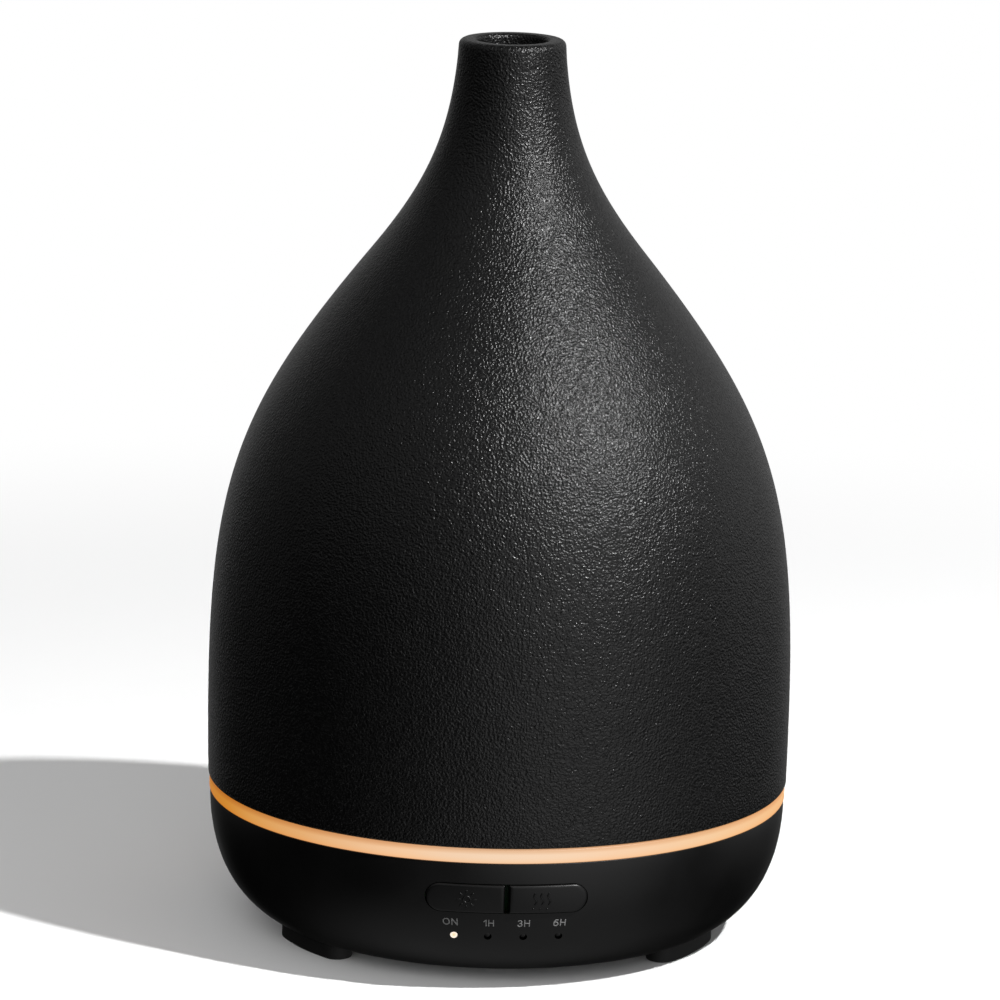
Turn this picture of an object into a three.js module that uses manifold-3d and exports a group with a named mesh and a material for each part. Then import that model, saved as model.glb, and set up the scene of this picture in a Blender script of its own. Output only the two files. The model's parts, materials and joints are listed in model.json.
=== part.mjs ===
// Essential oil diffuser: a bottle-shaped ceramic cover over a plastic bowl, which holds the water tank,
// the mist maker, the fan and the electronics, with a glowing ring between cover and bowl.
// Millimetres, +Z up, floor at z = 0, axis of the bowl at x = y = 0, buttons facing -Y.
import * as THREE from 'three';
import { mergeVertices } from 'three/addons/utils/BufferGeometryUtils.js';
import Module from 'manifold-3d';

const wasm = await Module();
wasm.setup();

// ---- Driving dimensions ----
const BASE_R = 60;              // lower edge of the ceramic cover
const RING_R = 59.75;           // outside of the light ring
const BOWL_R = 59.6;            // rim of the bowl
const BOWL_Z = 2.6;             // flat underside of the bowl
const BOWL_TOP_Z = 28.4;        // rim of the bowl
const RING_Z = [28.7, 31.3];    // visible band of the light ring
const COVER_Z = 31.6;           // lower edge of the ceramic cover
const TOP_Z = 185.4;            // lip of the ceramic cover
const OUTLET_R = 7.2;           // mist outlet in the lip
const COVER_WALL = 4;           // ceramic
const SHELL_WALL = 2.4;         // moulded bowl
const SHELL_FLOOR_Z = BOWL_Z + SHELL_WALL;
const TANK_R = 46.5;            // outside of the tank wall
const TANK_WALL = 2;
const TANK_FLOOR_Z = 19;        // underside of the tank floor
const TANK_RIM_Z = 46;
const CHIMNEY_Z = 96;           // top of the inner lid's chimney
const CHIMNEY_R = 8;            // bore of the chimney
const PIEZO_R = 10;             // mist-making disc
const BUTTON = { half: 15.95, gap: 1.1, z: [18.1, 24.1], travel: 0.8 };
const LAMP_X = [-10.3, -3.55, 3.55, 10.65];
const LAMP_Z = 12.7;
const FOOT = { r: 43.7, half: 3.2, span: 10.5 };
const FAN = { y: 26, size: 25, z: [5.4, 12.4], bore: 11.4 };
const SCREW_R = 36;             // circle of the three base screws
const JACK_Z = 14;              // centre of the power inlet, at the back
const GAP = 0.3;                // clearance between separate pieces
const ROUND = 36;               // facets round the large bodies
const SMALL = 14;               // facets round the small ones

// ---- Materials ----
const finish = (color, roughness, metalness = 0) =>
  new THREE.MeshStandardMaterial({ color, roughness, metalness });
const CERAMIC = finish(0x1c1b1b, 0.5);
const BLACK = finish(0x161616, 0.6);
const RUBBER = finish(0x101010, 0.85);
const GLOW = finish(0xf5c890, 0.4);
const LAMP = finish(0xffe9d6, 0.3);
const WHITE = finish(0xe9e9e4, 0.45);
const GREEN = finish(0x1f5b3a, 0.5);
const STEEL = finish(0xb5b7ba, 0.35, 1);
const BRASS = finish(0xb08d4a, 0.35, 1);
const DARK = finish(0x2a2a2c, 0.5);
const RED = finish(0x9e2420, 0.5);

// ---- Solids ----
const radians = THREE.MathUtils.degToRad;
const v2 = (x, y) => new THREE.Vector2(x, y);
const v3 = (x, y, z) => new THREE.Vector3(x, y, z);

// A closed geometry as a solid, with vertices merged, flat triangles dropped and faces pointing out.
function solid(geometry) {
  geometry.deleteAttribute('normal');
  geometry.deleteAttribute('uv');
  const merged = mergeVertices(geometry, 1e-4);
  const p = merged.attributes.position;
  const source = merged.index.array;
  const corner = (i) => new THREE.Vector3().fromBufferAttribute(p, i);
  const triVerts = [];
  let volume = 0;
  for (let i = 0; i < source.length; i += 3) {
    const [a, b, c] = source.slice(i, i + 3);
    if (a === b || b === c || c === a) continue;
    triVerts.push(a, b, c);
    volume += corner(a).dot(corner(b).cross(corner(c)));
  }
  if (volume < 0) triVerts.reverse();
  return new wasm.Manifold(new wasm.Mesh({
    numProp: 3,
    vertProperties: new Float32Array(p.array),
    triVerts: new Uint32Array(triVerts),
  }));
}

const join = (first, ...rest) => rest.reduce((sum, piece) => sum.add(piece), first);
const cut = (first, ...rest) => rest.reduce((sum, piece) => sum.subtract(piece), first);

// A profile of [radius, height] points turned round the Z axis through (x, y).
function turned(points, { segments = ROUND, x = 0, y = 0 } = {}) {
  const outline = points.map((p) => (p.isVector2 ? p : v2(...p)));
  if (outline[0].x > 0) outline.push(outline[0].clone());
  return solid(new THREE.LatheGeometry(outline, segments).rotateX(Math.PI / 2).translate(x, y, 0));
}

// A round bar or bore from z0 to z1, with its own radius at each end.
function upright(r, z0, z1, { x = 0, y = 0, top = r, segments = SMALL } = {}) {
  const bar = new THREE.CylinderGeometry(top, r, z1 - z0, segments).rotateX(Math.PI / 2);
  return solid(bar.translate(x, y, (z0 + z1) / 2));
}

// A round bar or bore along Y.
function lengthwise(r, y0, y1, x, z, segments = SMALL) {
  return solid(new THREE.CylinderGeometry(r, r, y1 - y0, segments).translate(x, (y0 + y1) / 2, z));
}

function box([x0, x1], [y0, y1], [z0, z1]) {
  const block = new THREE.BoxGeometry(x1 - x0, y1 - y0, z1 - z0);
  return solid(block.translate((x0 + x1) / 2, (y0 + y1) / 2, (z0 + z1) / 2));
}

function washer(inner, outer, z0, z1, place) {
  return turned([[inner, z0], [outer, z0], [outer, z1], [inner, z1]], place);
}

// A shape drawn in X and Z, pushed through from y0 to y1.
function pushed(shape, y0, y1, curveSegments = 8) {
  const plate = new THREE.ExtrudeGeometry(shape, { depth: y1 - y0, bevelEnabled: false, curveSegments });
  return solid(plate.rotateX(Math.PI / 2).translate(0, y1, 0));
}

// Points along a curve of [radius, height], moved off it by a distance to its left.
function along(curve, count, offset = 0) {
  return Array.from({ length: count + 1 }, (_, i) => {
    const t = curve.getTangent(i / count);
    return curve.getPoint(i / count).add(v2(-t.y, t.x).multiplyScalar(offset));
  });
}

// A quarter-round corner of [radius, height] points.
function corner(cx, cz, r, from, to, steps = 2) {
  return Array.from({ length: steps + 1 }, (_, i) => {
    const a = radians(from + ((to - from) * i) / steps);
    return v2(cx + r * Math.cos(a), cz + r * Math.sin(a));
  });
}

const polar = (radius, degrees) => ({
  x: radius * Math.sin(radians(degrees)),
  y: -radius * Math.cos(radians(degrees)),
});

// ---- Scene graph ----
const diffuser = new THREE.Group();
function add(name, piece, material) {
  const { numProp, vertProperties, triVerts } = piece.getMesh();
  const geometry = new THREE.BufferGeometry();
  geometry.setAttribute('position', new THREE.BufferAttribute(vertProperties, numProp));
  geometry.setIndex(new THREE.BufferAttribute(triVerts, 1));
  geometry.computeVertexNormals();
  const mesh = new THREE.Mesh(geometry, material);
  mesh.name = name;
  diffuser.add(mesh);
}

// ---- Ceramic cover: straight sides, a round shoulder and a bottle neck ----
const SHOULDER = v2(28.1, 141.5);
const coverBody = new THREE.CubicBezierCurve(v2(BASE_R, COVER_Z), v2(61.35, 91), v2(57.3, 105), SHOULDER);
const coverNeck = new THREE.CubicBezierCurve(SHOULDER, v2(17.9, 154.3), v2(12.7, 164.2), v2(11.2, 181.5));
add('ceramic_cover', turned([
  [BASE_R - COVER_WALL, COVER_Z],
  ...corner(BASE_R - 0.8, COVER_Z + 0.8, 0.8, -90, 0),
  ...along(coverBody, 10).slice(1),
  ...along(coverNeck, 6).slice(1),
  ...corner(9.6, TOP_Z - 1.6, 1.6, 0, 90),
  ...corner(OUTLET_R + 0.8, TOP_Z - 0.8, 0.8, 90, 180),
  ...along(coverNeck, 6, COVER_WALL).reverse(),
  ...along(coverBody, 8, COVER_WALL).slice(1, -1).reverse(),
]), CERAMIC);

// ---- Inner lid: a dome on the tank's rim, with a chimney for the mist ----
const lidDome = new THREE.CubicBezierCurve(v2(47.4, 48.9), v2(30, 54), v2(10.6, 52), v2(9.8, 70));
const LID_SKIN = 1.8;
add('inner_lid', turned([
  [TANK_R + 0.7, 41.5], [48.8, 41.5], [48.8, 47.2],
  ...along(lidDome, 6),
  [CHIMNEY_R + LID_SKIN, CHIMNEY_Z], [CHIMNEY_R, CHIMNEY_Z],
  ...along(lidDome, 6, LID_SKIN).slice(1).reverse(),
  [42.6, 47.4], [42.6, 43], [44.2, 43], [44.2, TANK_RIM_Z + GAP], [TANK_R + 0.7, TANK_RIM_Z + GAP],
]), WHITE);

// ---- Light ring: the band that glows, with a ledge under the tank's flange ----
add('light_ring', turned([
  [48.6, RING_Z[0]], [RING_R, RING_Z[0]], [RING_R, RING_Z[1]], [54.5, RING_Z[1]], [54.5, 30.3], [48.6, 30.3],
]), GLOW);

// ---- Water tank, with its air duct, its seat for the disc and its screw bosses ----
const screwPlaces = [0, 120, 240].map((degrees) => polar(SCREW_R, degrees));
const TANK_IN = TANK_R - TANK_WALL;
const FLOOR_TOP_Z = TANK_FLOOR_Z + TANK_WALL;
const DUCT = { outer: 7.5, bore: 5.8, top: 44 };
const basin = turned([
  [8, TANK_FLOOR_Z], [PIEZO_R + 0.6, TANK_FLOOR_Z], [PIEZO_R + 0.6, 14], [PIEZO_R + 3, 14],
  [PIEZO_R + 3, TANK_FLOOR_Z],
  ...corner(TANK_R - 4, TANK_FLOOR_Z + 4, 4, -90, 0),
  [TANK_R, 30.6], [49.6, 30.6], [49.6, 31.6], [52.4, 31.6], [52.4, 30.6], [54.2, 30.6],
  [54.2, RING_Z[1] + GAP], [55.4, RING_Z[1] + GAP], [55.4, 35.5], [53.6, 35.5], [53.6, 32.6],
  [TANK_R, 32.6], [TANK_R, TANK_RIM_Z], [TANK_IN, TANK_RIM_Z],
  ...corner(TANK_IN - 3, FLOOR_TOP_Z + 3, 3, 0, -90),
  [8, FLOOR_TOP_Z],
]);
const ductTube = upright(DUCT.outer, TANK_FLOOR_Z, DUCT.top, { y: FAN.y });
const ductBore = upright(DUCT.bore, TANK_FLOOR_Z - 1, DUCT.top + 1, { y: FAN.y });
const waterMark = box([-7, 7], [-TANK_IN - 0.5, -TANK_IN + 1], [37.6, 38.4]);
const bosses = screwPlaces.map((at) => upright(3.8, 10, TANK_FLOOR_Z + 0.5, at));
const pilots = screwPlaces.map((at) => upright(1.55, 9, 18, at));
add('water_tank', cut(join(basin, ductTube, waterMark, ...bosses), ductBore, ...pilots), WHITE);
add('tank_seal', washer(49.9, 52.1, 30.6, 31.3), RUBBER);

// ---- Mist maker: a disc clamped under the tank floor between a gasket and a ring ----
add('piezo_gasket', washer(8.3, PIEZO_R + 0.3, 17.6, 18.7, { segments: 32 }), RUBBER);
add('piezo_disc', upright(PIEZO_R, 16.3, 17.3, { segments: 32 }), BRASS);
add('piezo_retainer', washer(7.5, PIEZO_R + 0.3, 14.3, 16, { segments: 32 }), DARK);

// ---- Bowl ----
const BOWL_RIM = v2(BOWL_R, BOWL_TOP_Z);
const bowl = new THREE.CubicBezierCurve(v2(45.1, BOWL_Z), v2(45.6, BOWL_Z), v2(BOWL_R, 6.1), BOWL_RIM);
const bowlBlock = turned([[0, BOWL_Z], ...along(bowl, 8), [0, BOWL_TOP_Z]]);
const bowlHollow = turned([
  [0, SHELL_FLOOR_Z], ...along(bowl, 8, SHELL_WALL), [BOWL_R - SHELL_WALL, 30], [0, 30],
]);
// The skin of the bowl between two depths below its outer face.
const bowlSkin = (out, deep) => turned([
  ...along(bowl, 8, -out), ...along(bowl, 8, deep).reverse(),
]);

// Outline of the button pair: one slot with round ends, grown by a margin.
function slot(margin = 0) {
  const [z0, z1] = [BUTTON.z[0] - margin, BUTTON.z[1] + margin];
  const r = (z1 - z0) / 2;
  const reach = BUTTON.half + margin - r;
  const shape = new THREE.Shape();
  shape.absarc(reach, (z0 + z1) / 2, r, -Math.PI / 2, Math.PI / 2);
  shape.absarc(-reach, (z0 + z1) / 2, r, Math.PI / 2, Math.PI * 1.5);
  return shape;
}

// One foot: a bent pad with round ends, from z0 to z1, grown by a margin.
function footPad(degrees, z0, z1, margin = 0) {
  const middle = radians(degrees - 90);
  const half = FOOT.half + margin;
  const [a, b] = [middle - radians(FOOT.span), middle + radians(FOOT.span)];
  const end = (angle) => [FOOT.r * Math.cos(angle), FOOT.r * Math.sin(angle)];
  const shape = new THREE.Shape();
  shape.absarc(0, 0, FOOT.r + half, a, b);
  shape.absarc(...end(b), half, b, b + Math.PI);
  shape.absarc(0, 0, FOOT.r - half, b, a, true);
  shape.absarc(...end(a), half, a - Math.PI, a);
  const pad = new THREE.ExtrudeGeometry(shape, { depth: z1 - z0, bevelEnabled: false, curveSegments: 6 });
  return solid(pad.translate(0, 0, z0));
}

const BOARD_SCREW_X = 23;
const boardScrews = [-BOARD_SCREW_X, BOARD_SCREW_X].map((x) => ({ x, y: -22.5 }));
const pillars = screwPlaces.map((at) => upright(4.6, SHELL_FLOOR_Z - 1, 9.7, at));
const standoffs = boardScrews.map((at) => upright(2.6, SHELL_FLOOR_Z - 1, 6.7, at));
const ribs = [30, 90, 150, 210, 270, 330].map((degrees) =>
  solid(new THREE.BoxGeometry(1.6, 5, 8).translate(0, -57, 22).rotateZ(radians(degrees))));
const jackBoss = lengthwise(7, 51.2, 60, 0, JACK_Z, 24);
const GRILLE_R = 11.7;
const feet = { foot_right: 60, foot_rear: 180, foot_left: 300 };
const shellBody = join(cut(bowlBlock, bowlHollow), ...[...pillars, ...standoffs, ...ribs, jackBoss]
  .map((piece) => piece.intersect(bowlBlock)));
add('base_shell', cut(
  shellBody,
  pushed(slot(GAP), -62, -50),
  ...LAMP_X.map((x) => lengthwise(0.95, -62, -48, x, LAMP_Z, 12)),
  lengthwise(4.3, 50, 60, 0, JACK_Z),
  lengthwise(5.5, 55.2, 60, 0, JACK_Z, 24),
  upright(GRILLE_R + GAP, 0, SHELL_FLOOR_Z + 1, { y: FAN.y, segments: 32 }),
  ...screwPlaces.map((at) => upright(3, 0, 5.7, at)),
  ...screwPlaces.map((at) => upright(1.6, 5, 12, at)),
  ...boardScrews.map((at) => upright(1.3, 3.6, 8, at)),
  ...Object.values(feet).map((degrees) => footPad(degrees, 0, 3.6, GAP)),
), BLACK);

// Air intake under the fan: a round plate with straight slots.
const grilleSlots = [-7.2, -3.6, 0, 3.6, 7.2].map((x) => {
  const reach = Math.sqrt((GRILLE_R - 2) ** 2 - x * x);
  return box([x - 1, x + 1], [FAN.y - reach, FAN.y + reach], [0, 9]);
});
add('intake_grille', cut(upright(GRILLE_R, 2.9, 4.7, { y: FAN.y, segments: 32 }), ...grilleSlots), BLACK);
for (const [name, degrees] of Object.entries(feet)) add(name, footPad(degrees, 0, 3.3), RUBBER);

// Screws through the floor into the tank's bosses: a round head below, a shank above.
screwPlaces.forEach((at, i) => {
  const shank = upright(1.25, 5.3, 16, { ...at, segments: 12 });
  add(`base_screw_${i + 1}`, join(upright(2.6, 3.7, 5.4, at), shank), STEEL);
});

// ---- Buttons, switches and indicator lamps behind the front of the bowl ----
const SWITCH = { x: 8, z: 21.1, depth: 2.6, plungerR: 1.6 };
const SWITCH_BOARD_Y = -50;
const PLUNGER_Y = [-54.1, -52];
for (const [name, side] of [['light', -1], ['mist', 1]]) {
  const x = SWITCH.x * side;
  const middle = (BUTTON.gap / 2 + 20) * side;
  const ownSide = box([middle - 20, middle + 20], [-62, -45], [10, 30]);
  const cap = pushed(slot(), -62, -45).intersect(bowlSkin(0.5, SHELL_WALL + 0.4));
  const flange = pushed(slot(0.8), -62, -45).intersect(bowlSkin(-SHELL_WALL - GAP, SHELL_WALL + 1.2));
  const stem = lengthwise(SWITCH.plungerR, -56.5, PLUNGER_Y[0] - GAP, x, SWITCH.z);
  add(`${name}_button`, join(cap, flange, stem).intersect(ownSide), BLACK);
  add(`${name}_plunger`, lengthwise(SWITCH.plungerR, ...PLUNGER_Y, x, SWITCH.z), DARK);
  const housing = box([x - 3, x + 3], [SWITCH_BOARD_Y - SWITCH.depth, SWITCH_BOARD_Y - GAP],
    [SWITCH.z - 3, SWITCH.z + 3]);
  const well = lengthwise(SWITCH.plungerR + GAP, -56, PLUNGER_Y[1] + BUTTON.travel + GAP, x, SWITCH.z);
  add(`${name}_switch`, cut(housing, well), STEEL);
}
const lampChips = LAMP_X.map((x) =>
  box([x - 0.9, x + 0.9], [SWITCH_BOARD_Y - 0.9, SWITCH_BOARD_Y + 0.1], [LAMP_Z - 0.7, LAMP_Z + 0.7]));
const switchBoard = box([-16.5, 16.5], [SWITCH_BOARD_Y, SWITCH_BOARD_Y + 1.6], [11.4, 25.4]);
add('switch_board', join(switchBoard, ...lampChips), GREEN);
['on', '1h', '3h', '6h'].forEach((label, i) => {
  const x = LAMP_X[i];
  const faceY = -Math.sqrt(56.4 ** 2 - x * x);
  add(`light_guide_${label}`, lengthwise(0.65, faceY, SWITCH_BOARD_Y - 1.2, x, LAMP_Z, 12), LAMP);
});

// ---- Ring of lamps under the light ring ----
const RING_LAMPS = 12;
const ringLamps = Array.from({ length: RING_LAMPS }, (_, i) =>
  solid(new THREE.BoxGeometry(3, 2.6, 1.2).translate(0, -53, 27.7).rotateZ((i * 2 * Math.PI) / RING_LAMPS)));
add('lamp_ring_board', join(washer(49.8, 55.4, 26.3, 27.3), ...ringLamps), GREEN);

// ---- Main board with its larger components ----
const BOARD = { x: [-27, 27], y: [-30, -15], z: [7, 8.6] };
const PART_Z = BOARD.z[1] + GAP;
const boardHoles = boardScrews.map((at) => upright(1.5, 6, 10, at));
add('control_board', cut(box(BOARD.x, BOARD.y, BOARD.z), ...boardHoles), GREEN);
boardScrews.forEach((at, i) => {
  const shank = upright(1, 4.2, PART_Z + 0.1, { ...at, segments: 12 });
  add(`board_screw_${i + 1}`, join(upright(2.2, PART_Z, 10.2, at), shank), STEEL);
});
add('power_inductor', join(
  upright(3.8, PART_Z, PART_Z + 1, { x: 15, y: -24.5 }),
  upright(2.6, PART_Z + 0.9, PART_Z + 4.1, { x: 15, y: -24.5 }),
  upright(3.8, PART_Z + 4, PART_Z + 5, { x: 15, y: -24.5 }),
), DARK);
add('filter_capacitor', upright(3.6, PART_Z, PART_Z + 8.5, { x: -15, y: -24.5 }), DARK);
add('drive_transistor', box([-5, 5], [-27, -24.6], [PART_Z, PART_Z + 7]), DARK);
const sinkFins = [-6, -2, 2, 6].map((x) => box([x - 0.6, x + 0.6], [-23.2, -19.8], [PART_Z, PART_Z + 7]));
add('heat_sink', join(box([-6.6, 6.6], [-24.3, -23.1], [PART_Z, PART_Z + 7]), ...sinkFins), STEEL);
const header = (x) => cut(
  box([x - 3.4, x + 3.4], [-19.2, -15.2], [PART_Z, PART_Z + 4.4]),
  box([x - 2.6, x + 2.6], [-18.4, -16], [PART_Z + 1.2, PART_Z + 5]),
);
add('fan_connector', header(-13), WHITE);
add('power_connector', header(13), WHITE);

// ---- Fan: frame with a hub on three spokes, seven-blade rotor, and the cone into the air duct ----
const fanHub = { y: FAN.y, segments: 24 };
const spokes = [0, 120, 240].map((degrees) =>
  solid(new THREE.BoxGeometry(1.6, 9, 1).translate(0, 7.6, 0).rotateZ(radians(degrees))
    .translate(0, FAN.y, FAN.z[0] + 0.5)));
const fanCorners = [-1, 1].flatMap((sx) => [-1, 1].map((sy) =>
  upright(1.2, 0, 20, { x: sx * 10.4, y: FAN.y + sy * 10.4, segments: 10 })));
const fanBlock = box([-12.5, 12.5], [FAN.y - 12.5, FAN.y + 12.5], FAN.z);
add('fan_frame', join(cut(fanBlock, upright(FAN.bore, 0, 20, { y: FAN.y, segments: 32 }), ...fanCorners),
  upright(4.2, FAN.z[0], FAN.z[0] + 1, fanHub), ...spokes), BLACK);
const BLADES = 7;
const blades = Array.from({ length: BLADES }, (_, i) =>
  solid(new THREE.BoxGeometry(6.6, 5.6, 0.7).rotateX(radians(38)).translate(7.4, 0, 9.3)
    .rotateZ((i * 2 * Math.PI) / BLADES).translate(0, FAN.y, 0)));
add('fan_rotor', join(upright(4.8, FAN.z[0] + 1.4, FAN.z[1] - 0.3, fanHub), ...blades), DARK);
add('fan_duct', turned([
  [FAN.bore - 0.6, 12.7], [12.4, 12.7], [12.4, 13.7],
  [DUCT.outer, 18.7], [DUCT.bore, 18.7], [FAN.bore - 0.6, 13.5],
], { y: FAN.y, segments: 24 }), BLACK);

// ---- Power inlet at the back ----
const jackBody = box([-4.5, 4.5], [41.6, 50.8], [JACK_Z - 4.5, JACK_Z + 4.5]);
const jackNose = lengthwise(4, 50.7, 54.9, 0, JACK_Z);
const jackSocket = lengthwise(3.15, 45, 60, 0, JACK_Z);
const jackPin = lengthwise(1, 44.5, 54, 0, JACK_Z, 12);
add('dc_jack', join(cut(join(jackBody, jackNose), jackSocket), jackPin), DARK);

// ---- Wires inside the bowl: round leads along smooth routes ----
function lead(name, radius, material, ...points) {
  const route = new THREE.CatmullRomCurve3(points.map((p) => v3(...p)), false, 'centripetal');
  const section = new THREE.Shape().absarc(0, 0, radius, 0, Math.PI * 2);
  const tube = new THREE.ExtrudeGeometry(section, {
    extrudePath: route, steps: Math.ceil(route.getLength() / 5), bevelEnabled: false, curveSegments: 4,
  });
  add(name, solid(tube), material);
}
lead('piezo_lead', 0.7, RED, [3, -1, 15.8], [3.5, -3, 13.2], [6, -9, 10.5], [6.5, -13, 9.6],
  [6.5, -16.4, 9.5]);
lead('fan_lead', 0.7, RED, [-12.9, 22, 8], [-17, 18, 7.5], [-18, 6, 7], [-15, -6, 8], [-13, -12, 9.5],
  [-13, -14.8, 10.6]);
lead('power_lead', 0.9, DARK, [4.9, 46, 12], [9, 45.4, 11.6], [17, 38, 10.5], [21, 26, 9], [19, 10, 8],
  [15, -6, 8], [13, -12, 9.5], [13, -14.8, 10.6]);
lead('switch_lead', 0.8, DARK, [-9, -29, 9.8], [-10, -33, 10.6], [-10.5, -41, 12.8], [-10.5, -48, 15]);

export default diffuser;
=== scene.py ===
"""Essential oil diffuser: fine meshes, materials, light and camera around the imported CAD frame.

Lengths in the outlines below are millimetres, as in the CAD source; every mesh is written in metres.
"""

import json
import math

import bmesh
import bpy
import numpy as np
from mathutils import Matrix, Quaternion, Vector


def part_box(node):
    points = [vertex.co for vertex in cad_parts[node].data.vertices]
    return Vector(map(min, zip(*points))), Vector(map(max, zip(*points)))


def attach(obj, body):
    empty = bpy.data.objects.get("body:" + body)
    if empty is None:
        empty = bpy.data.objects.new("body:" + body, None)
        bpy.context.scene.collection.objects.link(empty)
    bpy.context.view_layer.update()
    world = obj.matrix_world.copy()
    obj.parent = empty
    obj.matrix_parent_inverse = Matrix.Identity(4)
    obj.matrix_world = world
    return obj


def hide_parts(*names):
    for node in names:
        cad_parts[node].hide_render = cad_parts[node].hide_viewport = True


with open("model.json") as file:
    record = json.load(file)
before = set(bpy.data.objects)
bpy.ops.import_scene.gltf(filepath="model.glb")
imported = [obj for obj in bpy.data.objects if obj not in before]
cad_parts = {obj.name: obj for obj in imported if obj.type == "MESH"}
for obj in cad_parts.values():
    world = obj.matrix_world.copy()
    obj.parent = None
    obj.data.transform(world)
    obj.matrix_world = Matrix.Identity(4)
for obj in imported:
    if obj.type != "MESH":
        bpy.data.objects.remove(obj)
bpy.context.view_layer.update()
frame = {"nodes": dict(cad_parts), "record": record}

scene = bpy.context.scene
MM = 0.001


def span(node):
    """The lowest and highest corner of a CAD node, in millimetres."""
    low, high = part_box(node)
    return low / MM, high / MM


# ---- Sizes, taken from the frame ----
cover_low, cover_high = span("ceramic_cover")
shell_low, shell_high = span("base_shell")
ring_low, ring_high = span("light_ring")
lid_low, lid_high = span("inner_lid")
tank_high = span("water_tank")[1]
foot_low, foot_high = span("foot_rear")
COVER_Z, TOP_Z = cover_low.z, cover_high.z
BOWL_Z, BOWL_TOP_Z = shell_low.z, shell_high.z
BOWL_R = shell_high.x
RING_R = ring_high.x

# ---- Sizes of single features, as in the CAD source ----
# Cover: two curves meet at the shoulder; the pulls are their control points.
COVER_R, COVER_WALL = BOWL_R + 0.4, 4.0
BODY_PULL, SHOULDER = ((61.35, 91), (57.3, 105)), (28.1, 141.5)
NECK_PULL, NECK_END = ((17.9, 154.3), (12.7, 164.2)), (11.1, 181.5)
LIP_R, LIP_ROUND, OUTLET_R, OUTLET_ROUND = 10.85, 1.3, 7.2, 0.9
# Bowl: the radius of its flat bottom and the control points of its side.
SHELL_WALL = 2.4
SHELL_FLOOR_Z = BOWL_Z + SHELL_WALL
FLAT_R, BOWL_PULL = 45.1, ((45.6, BOWL_Z), (BOWL_R, 6.1))
RIM_OVERLAP = 0.1
PILLAR_R, PILLAR_TOP = 4.6, 9.7
SINK_R, SINK_DEPTH = 3.0, 5.7
# Ring: the step on which the cover rests, and the shelf inside it.
RING_IN, STEP_R, SHELF_Z = 48.6, 54.5, 30.3
# Tank, with its flange over the ring and the upright rim at the flange's end.
TANK_R, TANK_WALL, TANK_FLOOR_Z = 46.5, 2.0, 19.0
TANK_IN = TANK_R - TANK_WALL
FLANGE = {"under": 30.6, "step": 31.6, "over": 32.6, "rim": 35.5, "inner": 53.6, "neck": 54.2, "outer": 55.4}
PIEZO_R, PIEZO_HOLE, PIEZO_SKIRT_Z, PIEZO_DISH_R = 10.0, 8.0, 14.0, 13.5
DUCT_R, DUCT_BORE, DUCT_TOP = 7.5, 5.8, 44.0
BOSS_R, PILOT_R = 3.8, 1.55
FILL_MARK = {"half": 7.0, "face": 43.4, "low": 37.6, "high": 38.4}
# Inner lid: its outer edge, the dome and chimney, and the plug that sits in the tank's mouth.
CHIMNEY_R, LID_SKIN = 8.0, 1.8
LID_DOME = ((47.4, 48.9), (30, 54), (10.6, 52), (CHIMNEY_R + LID_SKIN, 70))
LID_SEAT_R, LID_EDGE_Z, LID_ROOF_Z = TANK_R + 0.7, 48.6, 47.4
PLUG = {"inner": 42.6, "outer": 44.2, "low": 43.0, "root": 46.3}
# Fan opening, screws and power inlet.
FAN_Y, INTAKE_R = 26.0, 12.0
GRILLE = {"each_side": 3, "pitch": 2.9, "half": 0.8, "margin": 1.9}
SCREW_R, HEAD_DEPTH, SHANK = 36.0, 1.6, 0.45
CROSS = {"long": 1.4, "short": 0.32, "deep": 0.8}
JACK_Z = 14.0
JACK = {"half": 4.5, "front": 41.6, "back": 50.8, "nose": 4.0, "reach": 4.2, "bore": 3.15}
PIN = {"radius": 1.0, "foot": 44.6, "length": 9.3}
INLET = {"backing": 7.0, "backing_y": 51.2, "wall_y": 54.9, "hole": 4.3, "dish": 5.5, "dish_y": 55.2}
# Front: the button pair, the lamps and the printed labels (text, and distance round the bowl from the front).
BUTTON = {"half": 16.5, "gap": 0.95, "low": 18.1, "high": 24.1, "proud": 0.45, "edge": 0.45, "thick": 2.3}
SLOT_MARGIN = 0.18
LAMP_X = (-10.3, -3.55, 3.55, 10.65)
LAMP_Z, LAMP_R, LAMP_MARGIN, LAMP_LENGTH = 12.55, 0.78, 0.06, 4.0
LIT_DEPTH, UNLIT_DEPTH = 0.25, 1.3
LABELS = {"on": ("ON", -11.6), "1h": ("1H", -3.6), "3h": ("3H", 3.65), "6h": ("6H", 11.15)}
LABEL_Z, LABEL_HEIGHT = 15.7, 1.36
# Feet: bent pads at these angles, counted from the front, in pockets of the bowl.
FOOT_R, FOOT_HALF, FOOT_SPAN = 43.7, 3.2, 10.5
FEET = {"foot_right": 60, "foot_rear": 180, "foot_left": 300}
POCKET_TOP, POCKET_MARGIN = 3.6, 0.15
# How the foot's lower edge is rounded: height, and distance from the pad's full outline.
FOOT_LEVELS = ((foot_high.z, 0.0), (0.7, 0.0), (0.3, -0.07), (0.1, -0.2), (foot_low.z, -0.42))


# ---- Curves ----
def bezier(p0, p1, p2, p3, count, offset=0.0):
    """Points along a cubic curve of (radius, height), moved off it by a distance to its left."""
    t = np.linspace(0, 1, count + 1)[:, None]
    p0, p1, p2, p3 = (np.array(p, float) for p in (p0, p1, p2, p3))
    at = (1 - t) ** 3 * p0 + 3 * (1 - t) ** 2 * t * p1 + 3 * (1 - t) * t**2 * p2 + t**3 * p3
    slope = (1 - t) ** 2 * (p1 - p0) + 2 * (1 - t) * t * (p2 - p1) + t**2 * (p3 - p2)
    slope /= np.linalg.norm(slope, axis=1)[:, None]
    return [tuple(p) for p in at + offset * np.stack([-slope[:, 1], slope[:, 0]], 1)]


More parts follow.
